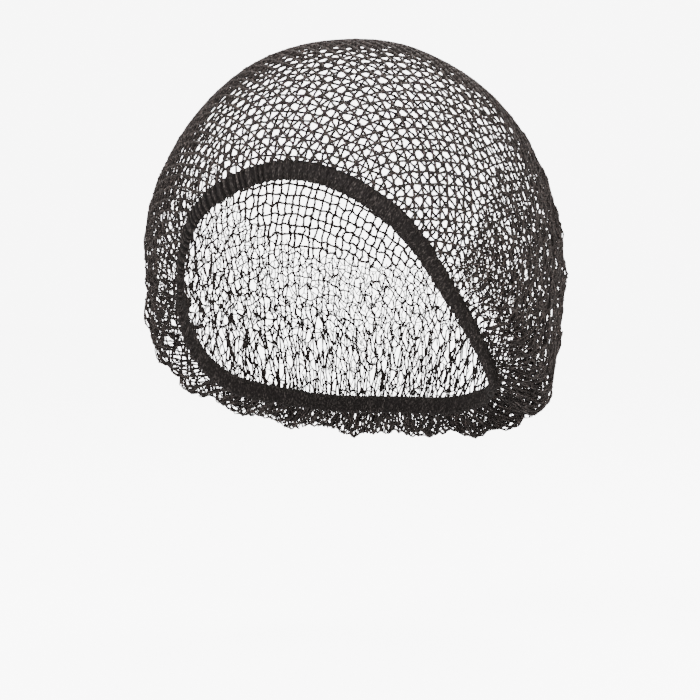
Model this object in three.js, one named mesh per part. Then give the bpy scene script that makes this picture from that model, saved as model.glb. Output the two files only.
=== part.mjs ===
// A worn hairnet: one coarse net gathered onto a ribbed elastic band that runs
// high over the brow, behind the ears and low round the nape.
//
// The cap is described in the frame of its band: radius r and azimuth round the
// loop's own axis, height h along it. Azimuth 0 is the brow (-Y), 90 the wearer's
// left (+X) and 180 the nape. The whole is then tilted about X as it is worn, so
// that +Z is up. The origin is the centre of the band's loop.
import * as THREE from "three";

// Driving dimensions: millimetres and degrees
const WORN_TILT = 35.6; // brow high, nape low
const BAND_LENGTH = 197; // brow to nape, in the loop's own plane
const BAND_BREADTH = 154; // ear to ear
const BAND_DIP = 25; // how far the loop's sides hang below its ends
const BAND_WIDTH = 10; // edge to edge of the elastic
const BAND_THICKNESS = 3.2;
const BAND_BULGE = 0.5; // how far the middle of its outer face stands proud
const BAND_LEAN = 18; // how far it leans in with the slope of the brow
const RIB_PITCH = 4.5;
const RIB_DEPTH = 0.8;

const NET_HEIGHT = 129; // crown above the loop's plane
const NET_OVERHANG = 31; // how far the cap stands out past the band at the nape
const BAG_DROP = 10; // how far the cap first rises or hangs from the band
const NET_WALL = 1.2;
const NET_CLEARANCE = 0.3; // between the net's edge and the elastic
const FOLD_DEPTH = 5;
const FOLD_FADE = 0.06; // share of the section over which a fold grows from the edge

const CELLS = 11; // openings across the flat square of netting
const STRAND = 5.5; // narrowest strip of net between two openings
const GAP = 20.5; // widest opening
const CROWN_SHARE = 0.87; // how closely the netting lies at the crown, 1 for evenly
const SIDE_STEPS = 3; // straight steps along one side of an opening

// The cap's section every 30 degrees from brow to nape, the same on both sides.
// edge: radius of the band's loop, as a share of an ellipse of its two sizes
// dip: height of that edge, share of BAND_DIP
// hang and belly: how far out past the edge, share of NET_OVERHANG, and height,
//   share of BAG_DROP from the edge for the hang, of NET_HEIGHT for the belly
// shoulder and crown: radius as a share of the belly's, height of NET_HEIGHT
// lean and rib: shares of BAND_LEAN and RIB_DEPTH
const SECTIONS = {
  edge: [1.025, 1.082, 1.012, 1.0, 1.036, 1.005, 0.975],
  dip: [0.26, -0.24, -0.8, -1.0, -0.84, -0.32, 0.0],
  hangOut: [0.13, 0.23, 0.48, 0.76, 0.84, 0.83, 0.81],
  hangRise: [1.0, 1.2, 0.6, -0.1, -0.6, -0.9, -0.9],
  bellyOut: [0.13, 0.23, 0.74, 0.85, 0.85, 0.94, 1.0],
  bellyRise: [0.372, 0.295, 0.186, 0.109, 0.093, 0.093, 0.109],
  shoulderIn: [0.84, 0.85, 0.876, 0.893, 0.89, 0.876, 0.882],
  shoulderRise: [0.667, 0.636, 0.581, 0.527, 0.481, 0.465, 0.465],
  crownIn: [0.467, 0.472, 0.505, 0.534, 0.495, 0.455, 0.441],
  crownRise: [0.922, 0.915, 0.884, 0.837, 0.822, 0.853, 0.884],
  lean: [1.0, 0.8, 0.4, 0.0, 0.0, 0.0, 0.0],
  rib: [0.7, 0.7, 0.9, 1.2, 1.1, 1.0, 1.0],
};
const SECTION_DEGREES = 30;

// Creases that part the slack net into lobes round the sides and the nape.
// at: azimuth; turn: half width in degrees; share: share of FOLD_DEPTH;
// middle and reach: where along the section it is deepest, and how far it runs,
//   as shares of the way from the edge to the crown
const FOLDS = [
  { at: 66, turn: 5, share: 0.35, middle: 0.12, reach: 0.14 },
  { at: 84, turn: 6, share: 0.6, middle: 0.14, reach: 0.16 },
  { at: 102, turn: 6, share: 0.7, middle: 0.16, reach: 0.2 },
  { at: 119, turn: 5, share: 1.0, middle: 0.2, reach: 0.18 },
  { at: 136, turn: 6, share: 1.1, middle: 0.14, reach: 0.16 },
  { at: 152, turn: 5, share: 0.8, middle: 0.15, reach: 0.2 },
  { at: 168, turn: 6, share: 0.9, middle: 0.14, reach: 0.18 },
  { at: 184, turn: 5, share: 0.75, middle: 0.17, reach: 0.22 },
  { at: 201, turn: 6, share: 1.0, middle: 0.14, reach: 0.18 },
  { at: 218, turn: 5, share: 0.8, middle: 0.16, reach: 0.2 },
  { at: 234, turn: 6, share: 1.0, middle: 0.14, reach: 0.16 },
  { at: 251, turn: 5, share: 0.8, middle: 0.18, reach: 0.18 },
  { at: 268, turn: 6, share: 0.9, middle: 0.2, reach: 0.16 },
  { at: 284, turn: 5, share: 1.1, middle: 0.14, reach: 0.16 },
  { at: 299, turn: 5, share: 0.3, middle: 0.1, reach: 0.12 },
];

const radians = THREE.MathUtils.degToRad;

// Uniform Catmull-Rom between b and c, with a and d on either side
function spline(a, b, c, d, t) {
  const bend = 2 * a - 5 * b + 4 * c - d + (3 * b - a - 3 * c + d) * t;
  return b + 0.5 * t * (c - a + t * bend);
}

// A column of the section table at any azimuth, mirrored left and right
function column(name, azimuth) {
  const values = SECTIONS[name];
  const last = values.length - 1;
  const row = (n) => {
    const turn = ((n % (2 * last)) + 2 * last) % (2 * last);
    return values[turn > last ? 2 * last - turn : turn];
  };
  const at = azimuth / SECTION_DEGREES;
  const base = Math.floor(at);
  return spline(row(base - 1), row(base), row(base + 1), row(base + 2), at - base);
}

// Radius and height of the net's edge, where the band holds it
function edgeSection(azimuth) {
  const angle = radians(azimuth);
  const across = Math.sin(angle) / (BAND_BREADTH / 2);
  const along = Math.cos(angle) / (BAND_LENGTH / 2);
  const r = column("edge", azimuth) / Math.hypot(across, along);
  return { r, h: column("dip", azimuth) * BAND_DIP };
}

// Stations of the cap's section from the edge to the pole, as [radius, height]
function sectionStations(azimuth) {
  const { r, h } = edgeSection(azimuth);
  const belly = r + column("bellyOut", azimuth) * NET_OVERHANG;
  return [
    [r, h],
    [r + column("hangOut", azimuth) * NET_OVERHANG, h + column("hangRise", azimuth) * BAG_DROP],
    [belly, column("bellyRise", azimuth) * NET_HEIGHT],
    [belly * column("shoulderIn", azimuth), column("shoulderRise", azimuth) * NET_HEIGHT],
    [belly * column("crownIn", azimuth), column("crownRise", azimuth) * NET_HEIGHT],
    [0, NET_HEIGHT],
  ];
}

const SAMPLES_PER_STATION = 12;
const sectionCache = new Map();

// The section as closely spaced points with their distance from the edge
function section(azimuth) {
  const key = azimuth.toFixed(5);
  if (sectionCache.has(key)) return sectionCache.get(key);
  const stations = sectionStations(azimuth);
  const count = stations.length;
  const before = stations[0].map((v, k) => 2 * v - stations[1][k]);
  const [crownR, crownH] = stations[count - 2];
  const knots = [before, ...stations, [-crownR, crownH]];
  const points = [];
  for (let s = 0; s < count - 1; s += 1) {
    for (let n = 0; n < SAMPLES_PER_STATION; n += 1) {
      const t = n / SAMPLES_PER_STATION;
      const [a, b, c, d] = knots.slice(s, s + 4);
      points.push([0, 1].map((k) => spline(a[k], b[k], c[k], d[k], t)));
    }
  }
  points.push(stations[count - 1]);
  const distance = [0];
  for (let n = 1; n < points.length; n += 1) {
    const step = Math.hypot(points[n][0] - points[n - 1][0], points[n][1] - points[n - 1][1]);
    distance.push(distance[n - 1] + step);
  }
  const result = { points, distance };
  sectionCache.set(key, result);
  return result;
}

// Depth of the creases at an azimuth and a share of the way up from the edge
function creases(azimuth, share) {
  let depth = 0;
  for (const fold of FOLDS) {
    const away = ((azimuth - fold.at + 540) % 360) - 180;
    const up = (share - fold.middle) / fold.reach;
    if (Math.abs(up) < 1) {
      const fade = Math.cos((up * Math.PI) / 2) ** 2;
      depth += fold.share * fade * Math.exp(-((away / fold.turn) ** 2));
    }
  }
  const fromEdge = Math.min(1, share / FOLD_FADE);
  return depth * FOLD_DEPTH * fromEdge;
}

// A point of the uncreased cap: share 0 at the edge, 1 at the crown
function smoothPoint(azimuth, share) {
  const { points, distance } = section(azimuth);
  const want = share * distance[distance.length - 1];
  let n = 1;
  while (n < distance.length - 1 && distance[n] < want) n += 1;
  const t = (want - distance[n - 1]) / (distance[n] - distance[n - 1]);
  const r = THREE.MathUtils.lerp(points[n - 1][0], points[n][0], t);
  const h = THREE.MathUtils.lerp(points[n - 1][1], points[n][1], t);
  const angle = radians(azimuth);
  return new THREE.Vector3(r * Math.sin(angle), -r * Math.cos(angle), h);
}

// A normal is taken over a small patch: half a degree and a hundredth of the section
// each way, and never right at the crown, where all azimuths meet
const PATCH_DEGREES = 0.5;
const PATCH_SHARE = 0.01;
const LAST_SHARE = 0.999;

// Outward normal of a surface given as a function of azimuth and share
function outward(surface, azimuth, share) {
  const low = Math.max(0, share - PATCH_SHARE);
  const high = Math.min(LAST_SHARE, share + PATCH_SHARE);
  const down = surface(azimuth, low).sub(surface(azimuth, high));
  const left = surface(azimuth + PATCH_DEGREES, share);
  const round = left.sub(surface(azimuth - PATCH_DEGREES, share));
  return down.cross(round).normalize();
}

// The net's outer face: the smooth cap pressed in at its creases
function netPoint(azimuth, share) {
  const depth = creases(azimuth, share);
  const point = smoothPoint(azimuth, share);
  return depth > 0 ? point.addScaledVector(outward(smoothPoint, azimuth, share), -depth) : point;
}

// The flat square of netting, x and y from -1 to 1, drawn to a disc and laid over
// the cap: its corners come to brow, nape and ears, its middle to the crown
function lay(x, y) {
  const u = x * Math.sqrt(1 - (y * y) / 2);
  const v = y * Math.sqrt(1 - (x * x) / 2);
  const azimuth = THREE.MathUtils.radToDeg(Math.atan2(v, u)) - 45;
  const out = Math.min(1, Math.hypot(u, v));
  return { azimuth, share: 1 - out * (CROWN_SHARE + (1 - CROWN_SHARE) * out ** 2) };
}

// One shell of netting with an opening in each cell
function netGeometry() {
  const positions = [];
  const indices = [];
  const shared = new Map();

  // Adds an outer and an inner vertex; the inner one follows it in the list
  const vertex = (x, y) => {
    const { azimuth, share } = lay(x, y);
    const outer = netPoint(azimuth, share);
    const normal = outward(netPoint, azimuth, share);
    const inner = outer.clone().addScaledVector(normal, -NET_WALL);
    positions.push(...outer.toArray(), ...inner.toArray());
    return positions.length / 3 - 2;
  };
  const steps = CELLS * SIDE_STEPS;
  const flat = (n) => (2 * n) / steps - 1;
  const sharedVertex = ([a, b]) => {
    const key = a * (steps + 1) + b;
    if (!shared.has(key)) shared.set(key, vertex(flat(a), flat(b)));
    return shared.get(key);
  };
  const triangle = (a, b, c) => indices.push(a, b, c, c + 1, b + 1, a + 1);
  const wall = (a, b) => indices.push(a, a + 1, b, b, a + 1, b + 1);

  // The sides of a cell, anticlockwise, as whole steps of the flat square
  const ring = (i, j) => {
    const points = [];
    for (let n = 0; n < SIDE_STEPS; n += 1) points.push([n, 0]);
    for (let n = 0; n < SIDE_STEPS; n += 1) points.push([SIDE_STEPS, n]);
    for (let n = SIDE_STEPS; n > 0; n -= 1) points.push([n, SIDE_STEPS]);
    for (let n = SIDE_STEPS; n > 0; n -= 1) points.push([0, n]);
    return points.map(([a, b]) => [a + i * SIDE_STEPS, b + j * SIDE_STEPS]);
  };
  const distance = (a, b) => {
    const [p, q] = [a, b].map(([x, y]) => {
      const { azimuth, share } = lay(x, y);
      return smoothPoint(azimuth, share);
    });
    return p.distanceTo(q);
  };

  for (let i = 0; i < CELLS; i += 1) {
    for (let j = 0; j < CELLS; j += 1) {
      const outline = ring(i, j);
      const corners = outline.map(sharedVertex);
      const x = flat((i + 0.5) * SIDE_STEPS);
      const y = flat((j + 0.5) * SIDE_STEPS);
      const half = 1 / CELLS;
      const isCorner = [i, j].every((n) => n === 0 || n === CELLS - 1);
      if (isCorner) {
        const middle = vertex(x, y);
        corners.forEach((c, n) => triangle(c, corners[(n + 1) % corners.length], middle));
      } else {
        const wide = distance([x - half, y], [x + half, y]);
        const tall = distance([x, y - half], [x, y + half]);
        const limit = GAP / Math.min(wide, tall);
        const openX = Math.min(1 - STRAND / wide, limit);
        const openY = Math.min(1 - STRAND / tall, limit);
        const hole = outline.map(([a, b]) => {
          const [fromX, fromY] = [flat(a) - x, flat(b) - y];
          return vertex(x + fromX * openX, y + fromY * openY);
        });
        corners.forEach((c, n) => {
          const m = (n + 1) % corners.length;
          triangle(c, corners[m], hole[n]);
          triangle(corners[m], hole[m], hole[n]);
          wall(hole[m], hole[n]);
        });
      }
      outline.forEach(([a, b], n) => {
        const [c, d] = outline[(n + 1) % outline.length];
        const onSide = a === c && (a === 0 || a === steps);
        const onEnd = b === d && (b === 0 || b === steps);
        const onRim = onSide || onEnd;
        if (onRim) wall(corners[n], corners[(n + 1) % corners.length]);
      });
    }
  }
  return closedGeometry(positions, indices);
}

function closedGeometry(positions, indices) {
  const geometry = new THREE.BufferGeometry();
  geometry.setAttribute("position", new THREE.Float32BufferAttribute(positions, 3));
  geometry.setIndex(indices);
  geometry.computeVertexNormals();
  return geometry;
}

const edgePoint = (azimuth) => smoothPoint(azimuth, 0);
const LOOP_SAMPLES = 720;

// Distance round the loop from the brow to each sample
function loopDistances() {
  const distance = [0];
  let before = edgePoint(0);
  for (let n = 1; n <= LOOP_SAMPLES; n += 1) {
    const point = edgePoint((n * 360) / LOOP_SAMPLES);
    distance.push(distance[n - 1] + point.distanceTo(before));
    before = point;
  }
  return distance;
}

// Azimuths of evenly spaced places round the loop
function evenAzimuths(distance, count) {
  const azimuths = [];
  let n = 1;
  for (let k = 0; k < count; k += 1) {
    const want = (distance[LOOP_SAMPLES] * k) / count;
    while (distance[n] < want) n += 1;
    const t = (want - distance[n - 1]) / (distance[n] - distance[n - 1]);
    azimuths.push(((n - 1 + t) * 360) / LOOP_SAMPLES);
  }
  return azimuths;
}

// The elastic: a crest and a hollow for each rib, under the net's edge
function bandGeometry() {
  const distance = loopDistances();
  const ribs = Math.round(distance[LOOP_SAMPLES] / RIB_PITCH);
  const azimuths = evenAzimuths(distance, 2 * ribs);
  const positions = [];
  const indices = [];
  azimuths.forEach((azimuth, k) => {
    const angle = radians(azimuth);
    const ahead = edgePoint(azimuth + PATCH_DEGREES);
    const along = ahead.sub(edgePoint(azimuth - PATCH_DEGREES)).normalize();
    const radial = new THREE.Vector3(Math.sin(angle), -Math.cos(angle), 0);
    const out = radial.addScaledVector(along, -radial.dot(along)).normalize();
    out.applyAxisAngle(along, radians(BAND_LEAN * column("lean", azimuth)));
    const down = new THREE.Vector3().crossVectors(along, out);
    const hollow = k % 2 === 0 ? 0 : RIB_DEPTH * column("rib", azimuth);
    const top = hollow / 2;
    const section = [
      [-hollow, top],
      [BAND_BULGE - hollow, BAND_WIDTH / 2],
      [-hollow, BAND_WIDTH - top],
      [-BAND_THICKNESS, BAND_WIDTH - top],
      [-BAND_THICKNESS, BAND_WIDTH / 2],
      [-BAND_THICKNESS, top],
    ];
    for (const [o, d] of section) {
      const point = edgePoint(azimuth)
        .addScaledVector(out, o - NET_CLEARANCE)
        .addScaledVector(down, d + NET_CLEARANCE);
      positions.push(...point.toArray());
    }
    const sides = section.length;
    const next = ((k + 1) % azimuths.length) * sides;
    for (let s = 0; s < sides; s += 1) {
      const [a, b] = [k * sides + s, k * sides + ((s + 1) % sides)];
      const [c, d] = [next + s, next + ((s + 1) % sides)];
      indices.push(a, b, c, b, d, c);
    }
  });
  return closedGeometry(positions, indices);
}

const materials = {
  net: new THREE.MeshStandardMaterial({ color: 0x2b2523, roughness: 0.75, metalness: 0 }),
  band: new THREE.MeshStandardMaterial({ color: 0x171516, roughness: 0.9, metalness: 0 }),
};

function piece(name, geometry, material) {
  const mesh = new THREE.Mesh(geometry, material);
  mesh.name = name;
  return mesh;
}

const worn = new THREE.Group();
worn.rotation.x = -radians(WORN_TILT);
worn.add(piece("net", netGeometry(), materials.net));
worn.add(piece("elastic_band", bandGeometry(), materials.band));

const hairnet = new THREE.Group();
hairnet.add(worn);

export default hairnet;
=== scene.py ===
# %% [markdown]
# # A worn hairnet
# A hairnet is two things: a square of coarse, soft netting and a ribbed elastic
# loop that gathers its edge. This lesson models it as it looks when worn. The net
# is drawn tight over the brow and hangs loose at the sides and at the nape.
# The solids that carry the real sizes are loaded first and never moved.

import bpy
import numpy as np
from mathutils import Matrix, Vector


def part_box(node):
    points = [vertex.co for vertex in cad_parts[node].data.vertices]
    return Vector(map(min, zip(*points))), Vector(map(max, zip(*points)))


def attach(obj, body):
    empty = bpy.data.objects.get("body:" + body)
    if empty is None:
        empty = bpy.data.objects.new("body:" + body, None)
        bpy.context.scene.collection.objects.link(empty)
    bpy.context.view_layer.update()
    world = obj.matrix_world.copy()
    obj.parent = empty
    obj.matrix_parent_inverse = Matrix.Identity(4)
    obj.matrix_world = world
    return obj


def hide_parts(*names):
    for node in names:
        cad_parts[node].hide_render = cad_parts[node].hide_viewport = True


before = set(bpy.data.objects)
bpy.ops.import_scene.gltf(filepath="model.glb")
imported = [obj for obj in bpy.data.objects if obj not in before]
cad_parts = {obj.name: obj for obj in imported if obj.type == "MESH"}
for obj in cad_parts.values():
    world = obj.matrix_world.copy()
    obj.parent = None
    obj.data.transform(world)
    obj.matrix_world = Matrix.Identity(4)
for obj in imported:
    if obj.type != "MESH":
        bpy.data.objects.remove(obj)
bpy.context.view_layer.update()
net_low, net_high = (np.array(corner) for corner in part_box("net"))
band_low, band_high = (np.array(corner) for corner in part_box("elastic_band"))
NET_WIDTH, _, NET_RISE = net_high - net_low
BAND_ACROSS = band_high[0] - band_low[0]
print("net", (net_high - net_low).round(4), "band", (band_high - band_low).round(4))

# %% [markdown]
# ## Camera and light
# The photograph looks almost level at the net from a little to its left. A long
# lens keeps the far side nearly as large as the near one. The frame's centre is
# below the net's middle, because the photograph's is.

# %% Camera
VIEW_AZIMUTH = np.radians(20.0)
VIEW_RISE = np.radians(2.0)
VIEW_DISTANCE = 1.2
VIEW_SPAN = 0.35  # width seen at the target
SENSOR_WIDTH = 36.0  # millimetres
TARGET = np.array([0.0, 0.0065, -0.0283])

def camera_place():
    """Target plus distance times the unit vector to the lens."""
    level = np.cos(VIEW_RISE)
    toward = [np.sin(VIEW_AZIMUTH) * level, -np.cos(VIEW_AZIMUTH) * level, np.sin(VIEW_RISE)]
    return TARGET + VIEW_DISTANCE * np.array(toward)

camera_data = bpy.data.cameras.new("camera")
camera = bpy.data.objects.new("camera", camera_data)
bpy.context.collection.objects.link(camera)
camera.location = camera_place()
aim = Vector(TARGET) - camera.location
camera.rotation_euler = aim.to_track_quat("-Z", "Y").to_euler()
camera_data.sensor_width = SENSOR_WIDTH
camera_data.lens = SENSOR_WIDTH * VIEW_DISTANCE / VIEW_SPAN
bpy.context.scene.camera = camera
print("lens", round(camera_data.lens, 1), "mm")

# %% [markdown]
# Black thread on a white ground needs little light on the ground and a broad,
# soft light on the thread, so that its curls show as grey glints. More grey glints
# are painted into the yarn's colour.

# %% Lamps
LAMPS = (
    # name, place, size, power
    ("key", (-0.9, -1.3, 1.3), 0.8, 46.0),
    ("fill", (1.3, -1.0, 0.6), 0.9, 30.0),
    ("top", (0.1, 0.6, 1.6), 0.9, 26.0),
)

def add_lamp(name, place, size, power):
    """A square area lamp aimed at the net."""
    data = bpy.data.lights.new(name, "AREA")
    data.size = size
    data.energy = power
    lamp = bpy.data.objects.new(name, data)
    bpy.context.collection.objects.link(lamp)
    lamp.location = place
    lamp.rotation_euler = (-Vector(place)).to_track_quat("-Z", "Y").to_euler()

for lamp_row in LAMPS:
    add_lamp(*lamp_row)
print(len(LAMPS), "lamps")

# %% [markdown]
# The white ground should not flood the thread with light, or black would turn grey.
# So the backdrop is bright only where the camera looks straight at it.

# %% White backdrop
BACKDROP = 8.0
SKY_LIGHT = 0.8

def backdrop_strength(tree):
    """Sky light for every ray but the camera's own, which sees the bright backdrop."""
    ray = tree.nodes.new("ShaderNodeLightPath")
    strength = tree.nodes.new("ShaderNodeMapRange")
    strength.inputs["To Min"].default_value = SKY_LIGHT
    strength.inputs["To Max"].default_value = BACKDROP
    tree.links.new(ray.outputs["Is Camera Ray"], strength.inputs["Value"])
    return strength.outputs["Result"]

world = bpy.data.worlds.new("studio")
world.use_nodes = True
sky = world.node_tree.nodes["Background"]
sky.inputs["Color"].default_value = (1.0, 1.0, 1.0, 1.0)
world.node_tree.links.new(backdrop_strength(world.node_tree), sky.inputs["Strength"])
bpy.context.scene.world = world
print(world.name, "seen by the camera at", BACKDROP, "and by the net at", SKY_LIGHT)

# %% [markdown]
# ## Mesh helpers
# Every shape below is worked out as whole arrays of points and faces. One helper
# puts such arrays into a mesh, and one turns many curved paths into thread.

# %% Points and faces into a piece
def make_piece(name, points, faces, material):
    """A smooth mesh object at the origin from (n, 3) points and (m, 3 or 4) faces."""
    mesh = bpy.data.meshes.new(name)
    count, sides = faces.shape
    mesh.vertices.add(len(points))
    mesh.vertices.foreach_set("co", points.astype(np.float32).ravel())
    mesh.loops.add(count * sides)
    mesh.loops.foreach_set("vertex_index", faces.astype(np.int32).ravel())
    mesh.polygons.add(count)
    mesh.polygons.foreach_set("loop_start", np.arange(0, count * sides, sides, dtype=np.int32))
    mesh.update(calc_edges=True)
    mesh.polygons.foreach_set("use_smooth", np.ones(count, dtype=bool))
    mesh.materials.append(material)
    piece = bpy.data.objects.new(name, mesh)
    bpy.context.collection.objects.link(piece)
    print(name, len(points), "points", count, "faces")
    return piece

def unit(vectors):
    """Each vector divided by its own length."""
    length = np.linalg.norm(vectors, axis=-1, keepdims=True)
    return vectors / np.maximum(length, 1e-12)

# %% Paths into thread
TUBE_SIDES = 3  # enough for thread well under a millimetre thick

def tubes(path, lean, radius, closed=False):
    """Many tubes of equal sample count: path and lean are (tubes, samples, 3).
    Point = path + radius (cos w * side + sin w * up), w in equal steps, where side is
    square to the path and to lean, and up is square to both. Returns points, triangles."""
    if closed:
        ahead = unit(np.roll(path, -1, axis=1) - np.roll(path, 1, axis=1))
    else:
        ahead = unit(np.gradient(path, axis=1))
    side = unit(np.cross(lean, ahead))
    up = np.cross(ahead, side)
    w = 2 * np.pi * np.arange(TUBE_SIDES) / TUBE_SIDES
    spoke = np.cos(w)[:, None] * side[:, :, None] + np.sin(w)[:, None] * up[:, :, None]
    points = path[:, :, None] + radius * spoke
    ring = np.arange(points[..., 0].size).reshape(points.shape[:3])
    near = ring if closed else ring[:, :-1]
    far = np.roll(ring, -1, axis=1) if closed else ring[:, 1:]
    near_next, far_next = np.roll(near, -1, axis=2), np.roll(far, -1, axis=2)
    faces = [np.stack([near, near_next, far_next], -1), np.stack([near, far_next, far], -1)]
    faces = [f.reshape(-1, 3) for f in faces]
    if not closed:
        faces += [ring[:, 0, [0, 2, 1]], ring[:, -1]]
    return points.reshape(-1, 3), np.concatenate(faces)

def joined(parts):
    """Several (points, faces) pairs as one, each part's faces counted on."""
    start = np.cumsum([0] + [len(points) for points, _ in parts[:-1]])
    points = np.concatenate([points for points, _ in parts])
    return points, np.concatenate([faces + s for (_, faces), s in zip(parts, start)])

# %% [markdown]
# ## The worn form
# The cap is described round its band: azimuth 0 at the brow, 90 at the left side,
# 180 at the nape, and a share that runs from 0 at the band to 1 at the crown. Seven
# sections give its radius and height; a smooth curve runs through them both ways.
# The sizes come from the solids that were loaded.

# %% Sizes and sections
WORN_TILT = np.radians(35.6)
BAND_BREADTH = 0.996 * BAND_ACROSS
BAND_LENGTH = 1.273 * BAND_ACROSS
BAND_DIP = 0.162 * BAND_ACROSS
BAND_WIDTH = 0.0647 * BAND_ACROSS
BAND_THICKNESS = 0.0207 * BAND_ACROSS
BAND_BULGE = 0.0032 * BAND_ACROSS
BAND_LEAN = np.radians(18.0)
NET_HEIGHT = 0.635 * NET_RISE
NET_OVERHANG = 0.1495 * NET_WIDTH
BAG_DROP = 0.0482 * NET_WIDTH
FOLD_DEPTH = 0.0241 * NET_WIDTH
NET_CLEARANCE = 0.0003

SECTION_STEP = 30.0  # degrees between the values of each row, from brow to nape
SECTIONS = {
    "edge": [1.025, 1.082, 1.012, 1.0, 1.036, 1.005, 0.975],
    "dip": [0.26, -0.24, -0.8, -1.0, -0.84, -0.32, 0.0],
    "hang_out": [0.13, 0.23, 0.48, 0.76, 0.84, 0.83, 0.81],
    "hang_rise": [1.0, 1.2, 0.6, -0.1, -0.6, -0.9, -0.9],
    "belly_out": [0.13, 0.23, 0.74, 0.85, 0.85, 0.94, 1.0],
    "belly_rise": [0.372, 0.295, 0.186, 0.109, 0.093, 0.093, 0.109],
    "shoulder_in": [0.84, 0.85, 0.876, 0.893, 0.89, 0.876, 0.882],
    "shoulder_rise": [0.667, 0.636, 0.581, 0.527, 0.481, 0.465, 0.465],
    "crown_in": [0.467, 0.472, 0.505, 0.534, 0.495, 0.455, 0.441],
    "crown_rise": [0.922, 0.915, 0.884, 0.837, 0.822, 0.853, 0.884],
    "lean": [1.0, 0.8, 0.4, 0.0, 0.0, 0.0, 0.0],
    "rib": [0.7, 0.7, 0.9, 1.2, 1.1, 1.0, 1.0],
    "rib_pitch": [0.82, 0.84, 1.15, 1.4, 1.2, 1.0, 1.0],
    "lobe": [0.15, 0.35, 1.0, 1.2, 1.0, 0.6, 0.5],
}
FOLDS = (
    # azimuth, half width, depth, middle, reach
    (66, 5, 0.35, 0.12, 0.14),
    (84, 6, 0.6, 0.14, 0.16),
    (102, 6, 0.7, 0.16, 0.2),
    (119, 5, 1.0, 0.2, 0.18),
    (136, 6, 1.1, 0.14, 0.16),
    (152, 5, 0.8, 0.15, 0.2),
    (168, 6, 0.9, 0.14, 0.18),
    (184, 5, 0.75, 0.17, 0.22),
    (201, 6, 1.0, 0.14, 0.18),
    (218, 5, 0.8, 0.16, 0.2),
    (234, 6, 1.0, 0.14, 0.16),
    (251, 5, 0.8, 0.18, 0.18),
    (268, 6, 0.9, 0.2, 0.16),
    (284, 5, 1.1, 0.14, 0.16),
    (299, 5, 0.3, 0.1, 0.12),
)
print("band", round(BAND_LENGTH, 4), "by", round(BAND_BREADTH, 4), "net height", round(NET_HEIGHT, 4))

# %% Curves through the sections
def spline(before, start, end, after, t):
    """Uniform Catmull-Rom from start to end:
    start + t/2 (end - before + t (2 before - 5 start + 4 end - after
    + t (3 start - before - 3 end + after)))."""
    bend = 2 * before - 5 * start + 4 * end - after + t * (3 * start - before - 3 * end + after)
    return start + 0.5 * t * (end - before + t * bend)

def column(name, azimuth):
    """A column of the section table at any azimuth, the same on both sides."""
    values = np.array(SECTIONS[name])
    last = len(values) - 1
    at = np.asarray(azimuth) / SECTION_STEP
    base = np.floor(at).astype(int)
    def row(n):
        turn = n % (2 * last)
        return values[np.where(turn > last, 2 * last - turn, turn)]
    return spline(row(base - 1), row(base), row(base + 1), row(base + 2), at - base)

def edge_section(azimuth):
    """Radius and height of the band's upper edge: an ellipse of the band's length
    and breadth times the edge share, dipping at the sides."""
    angle = np.radians(azimuth)
    across = np.sin(angle) / (BAND_BREADTH / 2)
    along = np.cos(angle) / (BAND_LENGTH / 2)
    radius = column("edge", azimuth) / np.hypot(across, along)
    return radius, column("dip", azimuth) * BAND_DIP

def round_axis(azimuth, radius, height):
    """Azimuth, radius and height as a point, the brow towards -Y."""
    angle = np.radians(azimuth)
    return np.stack([radius * np.sin(angle), -radius * np.cos(angle), height], -1)

def tilt(points):
    """Turns the band's own frame forward about X to the way it is worn."""
    c, s = np.cos(WORN_TILT), np.sin(WORN_TILT)
    x, y, z = points[..., 0], points[..., 1], points[..., 2]
    return np.stack([x, y * c + z * s, -y * s + z * c], -1)

# %% The smooth cap as a grid
AZIMUTH_STEPS = 720
SHARE_STEPS = 240
SPLINE_STEPS = 24
azimuths = np.linspace(0, 360, AZIMUTH_STEPS + 1)
shares = np.linspace(0, 1, SHARE_STEPS + 1)

def section_grid():
    """Radius and height at each share and azimuth. Each section is a spline through
    edge, hang, belly, shoulder, crown and pole, resampled at even distances."""
    r, h = edge_section(azimuths)
    belly = r + column("belly_out", azimuths) * NET_OVERHANG
    pole = np.zeros_like(r)
    radius = [r, r + column("hang_out", azimuths) * NET_OVERHANG, belly,
              belly * column("shoulder_in", azimuths), belly * column("crown_in", azimuths), pole]
    height = [h, h + column("hang_rise", azimuths) * BAG_DROP,
              *(column(n, azimuths) * NET_HEIGHT for n in ("belly_rise", "shoulder_rise", "crown_rise")),
              pole + NET_HEIGHT]
    stations = np.stack([np.array(radius), np.array(height)], -1)
    mirrored = stations[-2] * np.array([-1.0, 1.0])
    knots = np.concatenate([[2 * stations[0] - stations[1]], stations, [mirrored]])
    t = np.linspace(0, 1, SPLINE_STEPS + 1)[:-1, None, None]
    spans = [spline(*knots[n:n + 4], t) for n in range(len(stations) - 1)]
    line = np.concatenate(spans + [stations[-1:]])
    step = np.linalg.norm(np.diff(line, axis=0), axis=-1)
    distance = np.concatenate([np.zeros((1, len(azimuths))), np.cumsum(step, axis=0)])
    length = distance[-1]
    even = [np.stack([np.interp(shares * length[n], distance[:, n], line[:, n, k]) for k in (0, 1)], -1)
            for n in range(len(azimuths))]
    return np.stack(even, axis=1), length

sections, section_length = section_grid()
smooth_cap = round_axis(azimuths, sections[..., 0], sections[..., 1])
brow_length, nape_length = section_length[[0, AZIMUTH_STEPS // 2]].round(4)
print("section length", brow_length, "at the brow and", nape_length, "at the nape")

# %% [markdown]
# Slack netting hangs in lobes parted by creases. Each crease is a smooth valley
# with a middle, a half width and a reach up the section. Close to the band the
# net is also drawn into small gathers, deepest at the sides and the nape.

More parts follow.
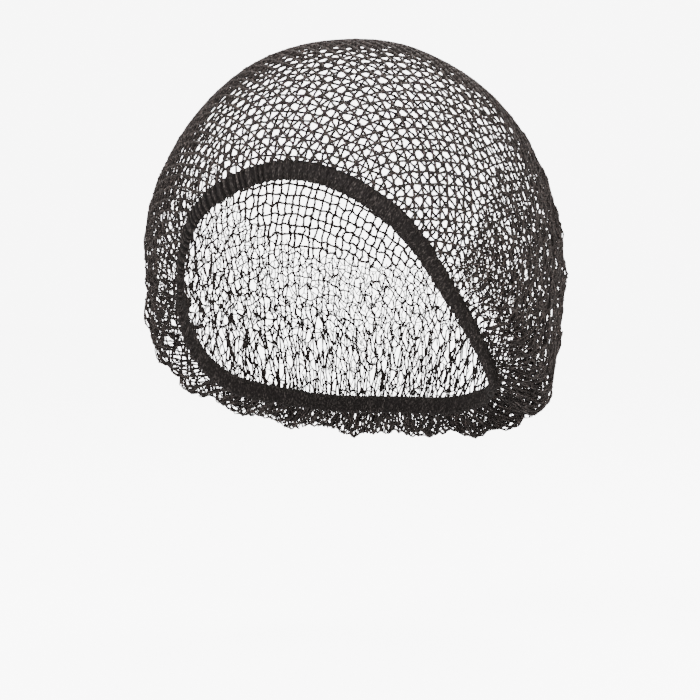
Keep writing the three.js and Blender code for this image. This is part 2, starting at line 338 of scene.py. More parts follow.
# %% Creases and gathers
EDGE_FADE = 0.06  # share of the section over which a crease grows from the edge
GATHER_PITCH = 7.5  # degrees
GATHER_DEPTH = 0.0011
GATHER_FADE = 0.02  # share of the section over which a gather grows from the edge
GATHER_REACH = 0.12
GATHER_STRAY = 2.0  # radians of the wave, by which its pitch is uneven
GATHERS_FROM = 45.0  # degrees from the brow
GATHERS_FULL = 60.0  # degrees further on, where they are deepest

def surface_normals(points):
    """Outward unit normals of the grid: down the section crossed with round the loop."""
    down = -np.gradient(points, axis=0)
    round_loop = np.gradient(points, axis=1)
    round_loop[:, [0, -1]] = (points[:, 1] - points[:, -2])[:, None] / 2
    normals = unit(np.cross(down, round_loop))
    normals[-1] = (0.0, 0.0, 1.0)
    return normals

def crease_depth():
    """Sum over the folds of depth * cos squared up the section * a bell curve round
    the loop, faded out at the edge, plus the gathers, a wave that dies away upwards."""
    depth = np.zeros((len(shares), len(azimuths)))
    for at, wide, deep, middle, reach in FOLDS:
        turn = (azimuths - at + 180) % 360 - 180
        up = np.clip((shares - middle) / reach, -1, 1)
        depth += deep * np.outer(np.cos(up * np.pi / 2) ** 2, np.exp(-((turn / wide) ** 2)))
    depth *= FOLD_DEPTH * np.minimum(1, shares / EDGE_FADE)[:, None]
    from_brow = np.minimum(azimuths, 360 - azimuths)
    gathered = np.clip((from_brow - GATHERS_FROM) / GATHERS_FULL, 0, 1)
    stray = GATHER_STRAY * np.sin(np.radians(3 * azimuths))
    wave = np.sin(2 * np.pi * azimuths / GATHER_PITCH + stray)
    rise = np.minimum(1, shares / GATHER_FADE) * np.exp(-shares / GATHER_REACH)
    return depth + GATHER_DEPTH * np.outer(rise, gathered * wave)

cap = smooth_cap - surface_normals(smooth_cap) * crease_depth()[..., None]
cap_normals = surface_normals(cap)
print("cap", np.ptp(tilt(cap).reshape(-1, 3), axis=0).round(4))

# %% [markdown]
# The net's edge is sewn into the top of the elastic. One more row of the grid,
# below share 0, carries the thread ends a little way into the band.

# %% The band's own directions, and the tucked row
TUCK = 0.0018
TUCK_IN = 0.0012
BESIDE = 0.5  # degrees to each side, over which the loop's direction is read
LAST_ROW = 0.9999  # just short of 1, so that a place at the crown still has a row above it

def band_frame(azimuth):
    """The edge point, and unit vectors out from the loop and down the band. The two
    are square to the loop, and turned by the band's lean."""
    def edge(a):
        return round_axis(a, *edge_section(a))
    along = unit(edge(azimuth + BESIDE) - edge(azimuth - BESIDE))
    radial = round_axis(azimuth, np.ones_like(azimuth), np.zeros_like(azimuth))
    out = unit(radial - along * np.sum(radial * along, -1, keepdims=True))
    down = np.cross(along, out)
    lean = (BAND_LEAN * column("lean", azimuth))[..., None]
    c, s = np.cos(lean), np.sin(lean)
    return edge(azimuth), out * c + down * s, down * c - out * s

edge_points, edge_out, edge_down = band_frame(azimuths)
tucked = edge_points + TUCK * edge_down - TUCK_IN * edge_out
grid_points = tilt(np.concatenate([tucked[None], cap]))
grid_normals = tilt(np.concatenate([cap_normals[:1], cap_normals]))
print("grid of the worn surface", grid_points.shape[:2])

def on_cap(azimuth, share):
    """The worn surface's point and outward normal at an azimuth and a share, read
    from the grid between its four nearest nodes. Shares under 0 run into the band."""
    length = np.interp(azimuth % 360, azimuths, section_length)
    row = np.where(share < 0, 1 + share * length / TUCK, 1 + share * SHARE_STEPS)
    row = np.clip(row, 0, SHARE_STEPS + LAST_ROW)
    turn = (azimuth % 360) / 360 * AZIMUTH_STEPS
    i, j = np.floor(row).astype(int), np.minimum(np.floor(turn).astype(int), AZIMUTH_STEPS - 1)
    p, q = (row - i)[..., None], (turn - j)[..., None]
    def read(grid):
        low = grid[i, j] * (1 - q) + grid[i, j + 1] * q
        return low * (1 - p) + (grid[i + 1, j] * (1 - q) + grid[i + 1, j + 1] * q) * p
    return read(grid_points), unit(read(grid_normals))

# %% [markdown]
# ## Laying the flat netting over the form
# Netting is a flat lattice of equal squares. It is laid over the cap from a point
# ahead of the crown: a knot keeps its distance and direction from that point. The
# elastic pulls the brow's netting wide and leaves the slack at the sides, so the
# squares stay open over the brow and crowd together towards the nape.

# %% Flat netting to the worn surface
MESH = 0.0054  # side of one square
LAY_RADIUS = 0.506 * NET_WIDTH
LAY_FORWARD = np.radians(22.0)
BIAS = np.radians(45.0)  # the threads cross the brow on the bias
BROW_STRETCH = 0.26
BROW_STRETCH_OVER = (0.5, 1.75)  # radians from the crown
CROWDED_FROM = np.radians(100.0)
CROWDED_STRETCH = 0.6
LAID_TO = np.radians(155.0)
FLAT_REACH = CROWDED_FROM + CROWDED_STRETCH * (LAID_TO - CROWDED_FROM)

def smooth_step(low, high, x):
    """0 below low, 1 above high, and 3 t^2 - 2 t^3 between them."""
    t = np.clip((x - low) / (high - low), 0, 1)
    return t * t * (3 - 2 * t)

def lay(a, b):
    """A flat point (a, b) to azimuth and share. Distance over the lay radius is an
    angle from the laying point on a sphere, and runs on faster past CROWDED_FROM; the
    same place read from the sphere's pole is turned by stretch * sin azimuth."""
    x, y = a * np.cos(BIAS) - b * np.sin(BIAS), a * np.sin(BIAS) + b * np.cos(BIAS)
    rho = np.maximum(np.hypot(x, y), 1e-9)
    alpha = rho / LAY_RADIUS
    alpha += np.maximum(alpha - CROWDED_FROM, 0) * (1 / CROWDED_STRETCH - 1)
    right, back, out = np.sin(alpha) * x / rho, np.sin(alpha) * y / rho, np.cos(alpha)
    c, s = np.cos(LAY_FORWARD), np.sin(LAY_FORWARD)
    y_axis, z_axis = back * c - out * s, back * s + out * c
    polar = np.arccos(np.clip(z_axis, -1, 1))
    turn = np.arctan2(right, -y_axis)
    turn += BROW_STRETCH * smooth_step(*BROW_STRETCH_OVER, polar) * np.sin(turn)
    azimuth = np.degrees(turn) % 360
    length = np.interp(azimuth, azimuths, section_length)
    return azimuth, 1 - polar * LAY_RADIUS / length

print("the flat netting reaches", round(FLAT_REACH * LAY_RADIUS, 3), "m from the laying point")

# %% Smooth noise
WAVE_SIZES = (0.6, 1.5)  # least and most of the noise's wave lengths, times wave

def wander(a, b, wave, seed, terms=14):
    """Smooth noise, mostly between -1 and 1, at flat places: a sum of cosine waves in
    random directions, with lengths near wave."""
    draw = np.random.default_rng(seed)
    total = np.zeros(np.broadcast(a, b).shape)
    headings, phases = draw.uniform(0, np.pi, terms), draw.uniform(0, 2 * np.pi, terms)
    for heading, phase, scale in zip(headings, phases, draw.uniform(*WAVE_SIZES, terms)):
        k = 2 * np.pi / (wave * scale)
        total += np.cos(k * (a * np.cos(heading) + b * np.sin(heading)) + phase)
    return total / np.sqrt(terms / 2)

# %% [markdown]
# Where the net is slack it also crumples: knots shift sideways and the surface
# puffs in and out by a few millimetres. Over the brow it lies still.

# %% Slack and crumple
CRUMPLE = 0.0013
CRUMPLE_WAVE = 0.009
QUIVER = 0.00028  # the crumple that even the tight netting has
PUFF = 0.0008
PUFF_WAVE = 0.016
SLACK_TURN = (40, 95)  # degrees from the brow, from tight to slack
SLACK_RISE = (0.3, 0.75)  # shares of the section, from slack to tight
HELD_BELOW = 0.03  # share under which the band's stitches hold the net still

def slackness(azimuth, share):
    """1 where the net hangs loose, low at the sides and the nape, 0 over the brow."""
    from_brow = np.minimum(azimuth % 360, 360 - azimuth % 360)
    return smooth_step(*SLACK_TURN, from_brow) * (1 - smooth_step(*SLACK_RISE, share))

def worn(a, b, depth=0.0, seed=0):
    """Where a point of the flat netting comes to lie, and its normal. depth sinks
    slack netting under the surface, for the folds behind it."""
    azimuth, share = lay(a, b)
    loose = slackness(azimuth, share) * smooth_step(0, HELD_BELOW, share)
    shift = QUIVER + CRUMPLE * loose
    shift_a = shift * wander(a, b, CRUMPLE_WAVE, seed + 1)
    shift_b = shift * wander(a, b, CRUMPLE_WAVE, seed + 2)
    a, b = a + shift_a, b + shift_b
    point, normal = on_cap(*lay(a, b))
    puff = PUFF * wander(a, b, PUFF_WAVE, seed + 3) - depth
    return point + normal * (loose * puff)[..., None], normal

low_slack = slackness(np.array([0.0, 90.0, 180.0]), 0.1)
print("slackness low down at the brow, the side and the nape", low_slack.round(2))

# %% The sides of the squares
HALF_SPAN = 0.27  # of the flat lattice, a little wider than the net
END_TUCK = 0.3  # of a side, past the net's edge into the band
SHORTEST = 0.35  # of a side, under which a cut side is left out

def net_sides(shift=0.0):
    """Every side of every square that lies on the cap: its family, flat start, and the
    shares of its length where it begins and ends, cut where it meets the band."""
    count = int(HALF_SPAN / MESH)
    knot = (np.arange(-count, count + 1) + shift) * MESH
    a, b = (g.ravel() for g in np.meshgrid(knot, knot, indexing="ij"))
    rows = []
    for family in (0, 1):
        end_a, end_b = a + MESH * family, b + MESH * (1 - family)
        reach = np.maximum(np.hypot(a, b), np.hypot(end_a, end_b)) < FLAT_REACH * LAY_RADIUS
        first, last = lay(a, b)[1], lay(end_a, end_b)[1]
        cross = first / np.where(np.abs(first - last) > 1e-9, first - last, 1)
        begin = np.where(first < 0, cross - END_TUCK, 0.0)
        finish = np.where(last < 0, cross + END_TUCK, 1.0)
        keep = reach & ((first > 0) | (last > 0)) & (finish - begin > SHORTEST)
        rows.append(np.stack([np.full(len(a), family), a, b, begin, finish], -1)[keep])
    return np.concatenate(rows)

outer_sides = net_sides()
print(len(outer_sides), "sides,", round(len(outer_sides) * MESH, 1), "m of netting thread")

# %% [markdown]
# ## The thread
# Each side of a square is a chain stitch: a core yarn that runs nearly straight
# from knot to knot, and a crimped yarn that curls round it in one or two loose
# turns. That is why such a net looks furry from a little way off.

# %% A node group for soft yarn
GLINT_RANGE = (0.53, 0.68)  # of the fine noise, from no painted glint to a full one
PATCH_RANGE = (0.3, 0.6)  # of the coarse noise, from dull to lively
DULL_GLINTS = 0.25  # how much of a painted glint is left where the yarn is dull

def shader_group(name, inputs, outputs):
    """A node group with named float or vector sockets; returns it with its two ends."""
    group = bpy.data.node_groups.new(name, "ShaderNodeTree")
    for socket, kind, value in inputs:
        made = group.interface.new_socket(name=socket, in_out="INPUT", socket_type=kind)
        if value is not None:
            made.default_value = value
    for socket, kind in outputs:
        group.interface.new_socket(name=socket, in_out="OUTPUT", socket_type=kind)
    return group, group.nodes.new("NodeGroupInput"), group.nodes.new("NodeGroupOutput")

def fibre_group():
    """Crimped fibres and painted glints: fine noise over blotches of a coarser one. The
    glint output is high at the few places where both are high, a painted highlight of
    fibres catching light, and Height feeds a bump."""
    group, given, made = shader_group(
        "fibres_and_painted_glints",
        [("Place", "NodeSocketVector", None), ("Fineness", "NodeSocketFloat", 2600.0),
         ("Patches", "NodeSocketFloat", 240.0)],
        [("Painted Glints", "NodeSocketFloat"), ("Patch", "NodeSocketFloat"), ("Height", "NodeSocketFloat")])
    nodes, links = group.nodes, group.links
    fine, coarse = nodes.new("ShaderNodeTexNoise"), nodes.new("ShaderNodeTexNoise")
    fine.inputs["Detail"].default_value = 2.0
    coarse.inputs["Detail"].default_value = 1.0
    for noise, scale in ((fine, "Fineness"), (coarse, "Patches")):
        links.new(given.outputs["Place"], noise.inputs["Vector"])
        links.new(given.outputs[scale], noise.inputs["Scale"])
    high = nodes.new("ShaderNodeMapRange")
    high.inputs["From Min"].default_value, high.inputs["From Max"].default_value = GLINT_RANGE
    links.new(fine.outputs["Fac"], high.inputs["Value"])
    patchy = nodes.new("ShaderNodeMapRange")
    patchy.inputs["From Min"].default_value, patchy.inputs["From Max"].default_value = PATCH_RANGE
    patchy.inputs["To Min"].default_value = DULL_GLINTS
    links.new(coarse.outputs["Fac"], patchy.inputs["Value"])
    both = nodes.new("ShaderNodeMath")
    both.operation = "MULTIPLY"
    links.new(high.outputs["Result"], both.inputs[0])
    links.new(patchy.outputs["Result"], both.inputs[1])
    links.new(both.outputs["Value"], made.inputs["Painted Glints"])
    links.new(coarse.outputs["Fac"], made.inputs["Patch"])
    links.new(fine.outputs["Fac"], made.inputs["Height"])
    return group

fibres = fibre_group()
print(fibres.name, "has", len(fibres.nodes), "nodes")

# %% Materials
YARN_ROUGHNESS = (0.5, 0.8)
SHEEN_TINT = (0.62, 0.56, 0.52)
SHEEN_ROUGHNESS = 0.5
BUMP_STRENGTH = 0.8

def basic_material(name, colour, roughness, gloss):
    """A material of one colour, roughness and specular level."""
    material = bpy.data.materials.new(name)
    material.use_nodes = True
    shader = material.node_tree.nodes["Principled BSDF"]
    shader.inputs["Base Color"].default_value = (*colour, 1.0)
    shader.inputs["Roughness"].default_value = roughness
    shader.inputs["Specular IOR Level"].default_value = gloss
    return material

def yarn_material(name, dark, light, fineness, bump_depth, gloss, sheen, placed_by=None):
    """Dark yarn with painted glints: colour runs from dark to light with the glint output,
    a painted highlight where raised fibres would catch light; roughness runs with the
    patches, and the fine noise is also a bump. The noise lies on object coordinates, or
    on the mesh's own vectors of the name given."""
    material = basic_material(name, dark, YARN_ROUGHNESS[0], gloss)
    tree = material.node_tree
    nodes, links = tree.nodes, tree.links
    shader = nodes["Principled BSDF"]
    shader.inputs["Sheen Weight"].default_value = sheen
    shader.inputs["Sheen Roughness"].default_value = SHEEN_ROUGHNESS
    shader.inputs["Sheen Tint"].default_value = (*SHEEN_TINT, 1.0)
    place = nodes.new("ShaderNodeAttribute" if placed_by else "ShaderNodeTexCoord")
    if placed_by:
        place.attribute_name = placed_by
    grain = nodes.new("ShaderNodeGroup")
    grain.node_tree = fibres
    grain.inputs["Fineness"].default_value = fineness
    links.new(place.outputs["Vector" if placed_by else "Object"], grain.inputs["Place"])
    colour = nodes.new("ShaderNodeMix")
    colour.data_type = "RGBA"
    colour.inputs["A"].default_value = (*dark, 1.0)
    colour.inputs["B"].default_value = (*light, 1.0)
    # painted glints: the noise lightens the base colour where fibres would catch light
    links.new(grain.outputs["Painted Glints"], colour.inputs["Factor"])
    links.new(colour.outputs["Result"], shader.inputs["Base Color"])
    rough = nodes.new("ShaderNodeMapRange")
    rough.inputs["To Min"].default_value, rough.inputs["To Max"].default_value = YARN_ROUGHNESS
    links.new(grain.outputs["Patch"], rough.inputs["Value"])
    links.new(rough.outputs["Result"], shader.inputs["Roughness"])
    bump = nodes.new("ShaderNodeBump")
    bump.inputs["Distance"].default_value = bump_depth
    bump.inputs["Strength"].default_value = BUMP_STRENGTH
    links.new(grain.outputs["Height"], bump.inputs["Height"])
    links.new(bump.outputs["Normal"], shader.inputs["Normal"])
    return material

# The light colour of each yarn is a painted glint: grey specks that stand for light caught by raised
# fibres.
thread_finish = yarn_material(
    "net_thread", dark=(0.0088, 0.0055, 0.0047), light=(0.145, 0.112, 0.102),
    fineness=1500.0, bump_depth=0.0003, gloss=0.25, sheen=0.1)
elastic_finish = yarn_material(
    "elastic", dark=(0.0040, 0.0031, 0.0029), light=(0.071, 0.060, 0.056),
    fineness=1500.0, bump_depth=0.0006, gloss=0.07, sheen=0.02, placed_by="straightened")
print("finishes", thread_finish.name, "and", elastic_finish.name)

# %% Core and curl of every side
CORE_RADIUS = 0.00040
TAUT_CORE_RADIUS = 0.00064
CORE_SAMPLES = 3
CURL_RADIUS = 0.00034
CURL_BOW = 0.00055
CURL_TURNS = (1, 2)
CURL_SIZES = (0.6, 1.4)  # least and most of the bow, from side to side
CURL_STRAY = 0.06  # how far the turns stray from even
CURL_RISE = 0.5
CURL_LIFTS = (-0.6, 1.0)  # least and most of the rise; under 0 the curl lies beneath
FOLD_CURL_BOW = 0.0010
FINE_CURL_RADIUS = 0.00020
FINE_CURL_BOW = 0.00065
FINE_CURL_SAMPLES = 10
FINE_CURL_TURNS = (3, 3)

def side_paths(sides, samples, depth=0.0, seed=0):
    """Worn centre lines of the sides: points, normals, and the share along each.
    A side of family 0 runs along b, and one of family 1 along a."""
    share = np.linspace(0, 1, samples)
    t = sides[:, 3:4] + (sides[:, 4:5] - sides[:, 3:4]) * share
    a = sides[:, 1:2] + MESH * t * sides[:, :1]
    b = sides[:, 2:3] + MESH * t * (1 - sides[:, :1])
    return *worn(a, b, depth, seed), t

def cores(sides, radius):
    """The core yarn of each side, nearly straight from knot to knot."""
    path, normal, _ = side_paths(sides, CORE_SAMPLES)
    return tubes(path, normal, radius)

def curls(sides, samples, seed, radius=CURL_RADIUS, bow=CURL_BOW, depth=0.0, turns=CURL_TURNS):
    """The crimped yarn: the centre line plus bow * (sin phase sideways + rise *
    (1 - cos phase) outwards), phase a few whole turns from knot to knot."""
    draw = np.random.default_rng(seed)
    path, normal, t = side_paths(sides, samples, depth, seed if depth else 0)
    count = (len(sides), 1)
    phase = 2 * np.pi * draw.integers(turns[0], turns[1] + 1, count)
    phase = phase * (t + CURL_STRAY * draw.normal(size=count) * np.sin(np.pi * t))
    beside = unit(np.cross(normal, unit(np.gradient(path, axis=1))))
    size = bow * draw.uniform(*CURL_SIZES, count) * draw.choice([-1, 1], count)
    lift = np.abs(size) * CURL_RISE * draw.uniform(*CURL_LIFTS, count)
    path = path + (size * np.sin(phase))[..., None] * beside
    path = path + (lift * (1 - np.cos(phase)))[..., None] * normal
    return tubes(path, normal, radius)

# %% [markdown]
# ## Knots
# Where two threads cross, a loop of yarn is drawn round both. Where the squares
# have closed up into a bundle, single knots no longer show.

# %% How far each square has closed up
PROBE = 0.2  # of a side, the distance over which a worn square is measured

def worn_squares(a, b):
    """At each flat place the worn point, the normal, the way the square's first side
    runs, and the square's worn size in square metres: the length of the cross product
    of two short steps along its sides, over the steps' share squared."""
    centre, normal = worn(a, b)
    first = worn(a + PROBE * MESH, b)[0] - centre
    second = worn(a, b + PROBE * MESH)[0] - centre
    size = np.linalg.norm(np.cross(first, second), axis=-1) / PROBE ** 2
    return centre, normal, unit(first), size

# %% Knots
KNOT_RADIUS = 0.0006
KNOT_THREAD = 0.00023
KNOT_STEPS = 4
KNOT_SEED = 5
KNOT_SIZES = (0.7, 1.3)  # least and most of the radius
KNOT_LEAN = 0.6  # how far the ring leans over, against how far it is tipped up
KNOT_TIPS = (0.3, 0.8)
CLOSED_UP = 8.0e-6  # square metres, the worn size under which a square shows no knot

def knots(places):
    """A small tilted ring of yarn at each flat place: centre + reach (cos w * one +
    sin w * two), where one turns freely about the normal and two is tipped up."""
    centre, normal, first, size = worn_squares(*places.T)
    shown = size > CLOSED_UP
    centre, normal, first = centre[shown], normal[shown], first[shown]
    across = unit(np.cross(normal, first))
    draw = np.random.default_rng(KNOT_SEED)
    turn = draw.uniform(0, np.pi, (len(centre), 1))
    one = first * np.cos(turn) + across * np.sin(turn)
    tip = draw.uniform(*KNOT_TIPS, turn.shape)
    two = unit(np.cross(one, normal) * KNOT_LEAN + normal * tip)
    w = 2 * np.pi * np.arange(KNOT_STEPS) / KNOT_STEPS
    reach = KNOT_RADIUS * draw.uniform(*KNOT_SIZES, (len(centre), 1, 1))
    ring = np.cos(w)[:, None] * one[:, None] + np.sin(w)[:, None] * two[:, None]
    lean = unit(np.cross(one, two))[:, None]
    return tubes(centre[:, None] + reach * ring, lean, KNOT_THREAD, closed=True)

# %% [markdown]
# ## Netting by areas
# The one piece of netting is made in areas, so that no mesh grows too large. The
# brow and the front, which are seen closest, also get a finer yarn in tighter, wider
# curls: the fuzz of loops along each strand. Where the net hangs slack, one to three
# looser layers lie behind it: netting that has folded under itself, most of it at the
# left. In two zones the net hangs clear of itself, in a single layer. Each area is a
# sheet with a flat size, its squares side by side.

# %% Areas of the netting
AREAS = (
    # name, azimuths from and to, shares from and to, curls, samples, folds behind, hold
    ("net_brow", -52, 52, -1.0, 0.55, 1, 7, 0, "stretched"),
    ("net_front", -95, 95, 0.55, 2.0, 1, 6, 0, "stretched"),
    ("net_top", 95, 265, 0.55, 2.0, 2, 6, 0, "stretched"),
    ("net_left_side", 52, 128, -1.0, 0.55, 1, 6, 3, "gathered"),
    ("net_left_nape", 128, 180, -1.0, 0.55, 1, 5, 1, "gathered"),
    ("net_right_nape", 180, 232, -1.0, 0.55, 1, 5, 1, "gathered"),
    ("net_right_side", 232, 308, -1.0, 0.55, 1, 6, 1, "gathered"),
)
FUZZY_AREAS = ("net_brow", "net_front")
CURL_SEED = 50
FINE_CURL_SEED = 70
SLACK_FROM = 0.2  # slackness over which the net folds under
SLACK_OPEN = 5.0e-6  # square metres, the worn size over which it does
FOLDS_FROM = 0.03  # share of the section where the folds begin
KNOTS_FROM = 0.004  # share of the section where the knots begin
FOLD_LAYERS = (
    # seed, depth behind, shift of the squares, samples, highest share
    (80, 0.0028, 0.5, 5, 0.65),
    (90, 0.0050, 0.25, 5, 0.30),
    (95, 0.0068, 0.75, 5, 0.17),
)
SINGLE_LAYER = (
    # azimuths from and to, shares from and to
    (238, 262, 0.0, 0.24),
    (101, 140, 0.13, 0.46),
)
FOLDED_UNDER = 1.25  # the folds count as a quarter more netting

def middles(sides):
    """Flat places halfway along the sides."""
    t = (sides[:, 3] + sides[:, 4]) / 2
    return sides[:, 1] + MESH * t * sides[:, 0], sides[:, 2] + MESH * t * (1 - sides[:, 0])

def in_area(a, b, row):
    """Which flat places come to lie in an area."""
    azimuth, share = lay(a, b)
    _, low, high, bottom, top, *_ = row
    return ((azimuth - low) % 360 < high - low) & (share >= bottom) & (share < top)

def knot_grid():
    """Flat places of the knots that lie on the cap, clear of the band."""
    count = int(HALF_SPAN / MESH)
    line = np.arange(-count, count + 1) * MESH
    places = np.stack(np.meshgrid(line, line, indexing="ij"), -1).reshape(-1, 2)
    places = places[np.hypot(*places.T) < FLAT_REACH * LAY_RADIUS]
    return places[lay(*places.T)[1] > KNOTS_FROM]

def folded_sides(shift, highest):
    """The sides of the netting that hangs slack enough to fold under."""
    sides = net_sides(shift)
    a, b = middles(sides)
    azimuth, share = lay(a, b)
    keep = (slackness(azimuth, share) > SLACK_FROM) & (worn_squares(a, b)[-1] > SLACK_OPEN)
    for low, high, bottom, top in SINGLE_LAYER:
        keep &= ~((azimuth > low) & (azimuth < high) & (share > bottom) & (share < top))
    return sides[keep & (share > FOLDS_FROM) & (share < highest)]

knot_places = knot_grid()
fold_sides = [folded_sides(shift, highest) for _, _, shift, _, highest in FOLD_LAYERS]
print(len(knot_places), "knots,", [len(f) for f in fold_sides], "sides in the folds behind")

# %% Yarn of each area
def area_yarn(number, row):
    """Cores, curls, folds and knots of one area as points and faces."""
    *_, curl_count, samples, folds, hold = row
    inside = outer_sides[in_area(*middles(outer_sides), row)]
    parts = [cores(inside, TAUT_CORE_RADIUS if hold == "stretched" else CORE_RADIUS)]
    for n in range(curl_count):
        parts.append(curls(inside, samples, CURL_SEED + 10 * n + number))
    if row[0] in FUZZY_AREAS:
        parts.append(curls(inside, FINE_CURL_SAMPLES, FINE_CURL_SEED + number, FINE_CURL_RADIUS,
                           FINE_CURL_BOW, turns=FINE_CURL_TURNS))
    for (seed, depth, _, steps, _), layer in zip(FOLD_LAYERS[:folds], fold_sides):
        behind = layer[in_area(*middles(layer), row)]
        parts.append(curls(behind, steps, seed + number, bow=FOLD_CURL_BOW, depth=depth))
    parts.append(knots(knot_places[in_area(*knot_places.T, row)]))
    return joined(parts)

net_pieces = []
for number, row in enumerate(AREAS):
    name, *_, hold = row
    piece = make_piece(name, *area_yarn(number, row), thread_finish)
    squares = knot_places[in_area(*knot_places.T, row)]
    area = len(squares) * MESH ** 2 * (FOLDED_UNDER if hold == "gathered" else 1.0)
    net_pieces.append((piece, np.ptp(squares, axis=0) + MESH, area, hold))
print(sum(len(piece.data.polygons) for piece, *_ in net_pieces), "triangles of netting")

# %% [markdown]
# ## The elastic band
# The band is a flat tube of knitting drawn into upright ribs by the rubber inside
# it. The ribs are round with sharp grooves between them, and the lower edge hangs in
# a small lobe under each, so it is scalloped. The yarn is nubbly all over. In one
# stretch of the loop the band is relaxed, and there its ribs are boldest.

# %% Ribs and lobes round the loop
LOOP_STEPS = 3600  # in which the loop's length is measured
RIB_PITCH = 0.0042
RIB_DEPTH = 0.0011
RIB_STEPS = 12
RIB_DRIFT = 0.16  # how far a rib strays from its even place, in ribs
DRIFT_WAVE = 3.5 * RIB_PITCH
RIB_UNEVEN = 0.35  # how much the ribs differ in depth
UNEVEN_WAVE = 5 * RIB_PITCH
RELAXED_AT = 320.0  # azimuth of the relaxed stretch
RELAXED_WIDE = 38.0  # degrees to each side
RELAXED_RIBS = 0.7  # how much deeper the ribs are there
LOBE_DEPTH = 0.0018
LOBE_MIDDLE = 0.6  # root of the crest at which the lower edge keeps its place
SECTION_POINTS = 30
FACE_SQUARENESS = 0.75  # powers of cos and sin: 1 is an ellipse, 0 a rectangle
EDGE_SQUARENESS = 0.7
FACE_GROOVES = 0.35  # how far round the edges the grooves of the face run
EDGE_GROOVES = 0.4  # how much of a groove's depth the edges have
NUB = 0.00013
NUB_PITCH = 0.0013
NUB_TURN = 0.4 * BAND_WIDTH  # length that stands for one radian round the section
NUB_TERMS = 24
NUB_SEED, DRIFT_SEED, UNEVEN_SEED = 7, 11, 12
GRAIN_STRETCH = 0.45  # the knitted grain is drawn out along the ribs
# Painted light on the band: each ring gets a share of the painted glints, raised to a painted highlight
# on the crests and lowered to painted shade in the grooves where the band is relaxed.
PLAIN_GLINTS = 0.85
GROOVE_SHADE = 0.1
CREST_HIGHLIGHT = 2.1
CREST_NARROWING = 6  # power of the crest that leaves a narrow streak of painted highlight

def loop_places():
    """Azimuths of fine, even steps of rib phase round the loop, and that phase."""
    fine = np.linspace(0, 360, LOOP_STEPS + 1)
    edge = round_axis(fine, *edge_section(fine))
    middle = (fine[:-1] + fine[1:]) / 2
    step = np.linalg.norm(np.diff(edge, axis=0), axis=-1) / column("rib_pitch", middle)
    distance = np.concatenate([[0], np.cumsum(step)])
    ribs = int(round(distance[-1] / RIB_PITCH))
    phase = np.arange(ribs * RIB_STEPS) / RIB_STEPS
    return np.interp(phase / ribs * distance[-1], distance, fine), phase

def band_points():
    """A rounded flat section round the loop. Its outer face draws in by the rib depth
    times 1 - |cos(pi phase)|, its lower edge swells and shrinks by the lobe depth times
    the root of |cos| less LOBE_MIDDLE, and nubs of yarn are smooth noise over distance
    round the loop and round the section. Also returns the painted glints of each ring:
    where the band is relaxed they rise to a painted highlight on the crests and drop to
    painted shade in the grooves. Also returns the points with the loop straightened to a
    plain ring, for the grain."""
    azimuth, phase = loop_places()
    edge, out, down = band_frame(azimuth)
    w = 2 * np.pi * np.arange(SECTION_POINTS) / SECTION_POINTS
    c, s = np.cos(w), np.sin(w)
    round_loop = phase * RIB_PITCH
    drift = RIB_DRIFT * wander(round_loop, 0.0, DRIFT_WAVE, DRIFT_SEED)
    crest = np.abs(np.cos(np.pi * (phase + drift)))
    relaxed = np.exp(-(((azimuth - RELAXED_AT + 180) % 360 - 180) / RELAXED_WIDE) ** 2)
    uneven = 1 + RIB_UNEVEN * wander(round_loop, 0.0, UNEVEN_WAVE, UNEVEN_SEED)
    uneven = uneven + RELAXED_RIBS * relaxed
    groove = ((1 - crest) * column("rib", azimuth) * RIB_DEPTH * uneven)[:, None]
    lobe = ((np.sqrt(crest) - LOBE_MIDDLE) * column("lobe", azimuth) * LOBE_DEPTH)[:, None]
    nub = NUB * wander(round_loop[:, None], w * NUB_TURN, NUB_PITCH, NUB_SEED, NUB_TERMS)
    across = BAND_THICKNESS / 2 * (np.sign(c) * np.abs(c) ** FACE_SQUARENESS - 1)
    across = across + BAND_BULGE * np.maximum(c, 0)
    across = across - groove * np.clip(c + FACE_GROOVES, 0, 1) + nub * c
    along = BAND_WIDTH / 2 * (np.sign(s) * np.abs(s) ** EDGE_SQUARENESS + 1)
    along = along - EDGE_GROOVES * groove * s + lobe * np.clip(s, 0, 1) ** 2 + nub * s
    points = edge[:, None] + (across - NET_CLEARANCE)[..., None] * out[:, None]
    points = tilt(points + (along + NET_CLEARANCE)[..., None] * down[:, None])
    # painted highlight streaks on the crests, painted shade in the grooves
    painted_streak = CREST_HIGHLIGHT * crest ** CREST_NARROWING + GROOVE_SHADE
    painted_glints = PLAIN_GLINTS + relaxed * (painted_streak - PLAIN_GLINTS)
    turn = 2 * np.pi * np.arange(len(phase))[:, None] / len(phase)
    ring = across + len(phase) / RIB_STEPS * RIB_PITCH / (2 * np.pi)
    straight = np.stack([ring * np.cos(turn), ring * np.sin(turn), GRAIN_STRETCH * along], -1)
    return points, painted_glints, straight

def ring_faces(rings, section):
    """Quads of a closed loop of closed sections."""
    index = np.arange(rings * section).reshape(rings, section)
    ahead, beside = np.roll(index, -1, axis=0), np.roll(index, -1, axis=1)
    both = np.roll(ahead, -1, axis=1)
    return np.stack([index, beside, both, ahead], -1).reshape(-1, 4)

def add_point_value(piece, name, values, kind="FLOAT", field="value"):
    """A value for each point, that a material reads by its name."""
    held = piece.data.attributes.new(name, kind, "POINT")
    held.data.foreach_set(field, values.astype(np.float32).ravel())

band_grid, ring_painted_glints, straight_grid = band_points()
band_faces = ring_faces(*band_grid.shape[:2])
band_piece = make_piece("elastic_ribs", band_grid.reshape(-1, 3), band_faces, elastic_finish)
# the mesh carries the painted highlight and shade for the material
add_point_value(band_piece, "painted_glints", np.repeat(ring_painted_glints, SECTION_POINTS))
add_point_value(band_piece, "straightened", straight_grid, "FLOAT_VECTOR", "vector")

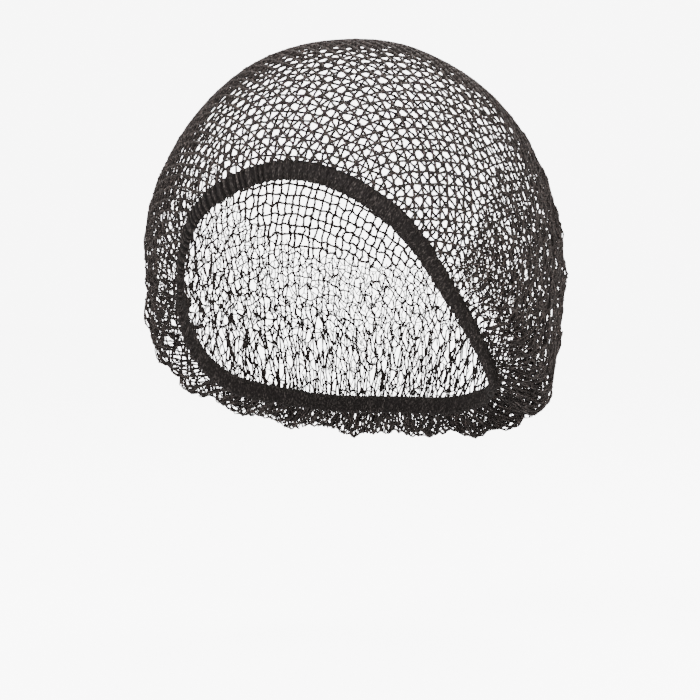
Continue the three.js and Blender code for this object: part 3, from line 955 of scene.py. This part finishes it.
# %% [markdown]
# Where the band is relaxed, the crests of its ribs get a painted highlight of grey
# streaks and the grooves stay black as painted shade; elsewhere the painted glints are
# even. A value of the mesh drives this.

# %% Painted highlights on the crests, painted shade in the grooves
EVEN_GREY = 0.09  # the grey between the painted glints, as a share of a full glint; the mesh's value lifts it on the crests and lowers it in the grooves

def paint_crest_light(material):
    """The painted glints and a little even grey, both times the value that the mesh
    carries: painted highlight on the crests and painted shade in the grooves.
    """
    tree = material.node_tree
    nodes, links = tree.nodes, tree.links
    colour = nodes["Principled BSDF"].inputs["Base Color"].links[0].from_node
    evenly, painted_light_factor = nodes.new("ShaderNodeMath"), nodes.new("ShaderNodeMath")
    evenly.inputs[1].default_value = EVEN_GREY
    painted_light_factor.operation = "MULTIPLY"
    painted_light_factor.use_clamp = True
    share = nodes.new("ShaderNodeAttribute")
    share.attribute_name = "painted_glints"
    links.new(colour.inputs["Factor"].links[0].from_socket, evenly.inputs[0])
    links.new(evenly.outputs["Value"], painted_light_factor.inputs[0])
    links.new(share.outputs["Fac"], painted_light_factor.inputs[1])
    links.new(painted_light_factor.outputs["Value"], colour.inputs["Factor"])

paint_crest_light(elastic_finish)
print("elastic material has", len(elastic_finish.node_tree.nodes), "nodes")

# %% [markdown]
# ## Handing the pieces over
# The threads and knots stand for the net's solid, the ribbed loop for the band's.
# The floor is made last, because it is no part of the hairnet.

# %% Ride and replace
for piece, spread, area, held in net_pieces:
    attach(piece, "root")
    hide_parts("net")
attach(band_piece, "root")
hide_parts("elastic_band")

# %% Floor
FLOOR_DROP = 0.178  # how far the floor lies below the band's centre
FLOOR_HALF = 6.0
FLOOR_GLOW = 7.2

def add_floor():
    """A wide pale plane under the net. It glows for the camera alone, so that it is as
    white as the backdrop and only a trace of shadow marks it."""
    square = np.array([[-1, -1], [1, -1], [1, 1], [-1, 1]]) * FLOOR_HALF
    corners = np.column_stack([square, np.full(4, -FLOOR_DROP)])
    pale = basic_material("pale_floor", colour=(0.85, 0.85, 0.85), roughness=0.95, gloss=0.0)
    tree = pale.node_tree
    shader = tree.nodes["Principled BSDF"]
    shader.inputs["Emission Color"].default_value = (1.0, 1.0, 1.0, 1.0)
    ray = tree.nodes.new("ShaderNodeLightPath")
    glow = tree.nodes.new("ShaderNodeMath")
    glow.operation = "MULTIPLY"
    glow.inputs[1].default_value = FLOOR_GLOW
    tree.links.new(ray.outputs["Is Camera Ray"], glow.inputs[0])
    tree.links.new(glow.outputs["Value"], shader.inputs["Emission Strength"])
    floor = make_piece("floor", corners, np.array([[0, 1, 2, 3]]), pale)

add_floor()
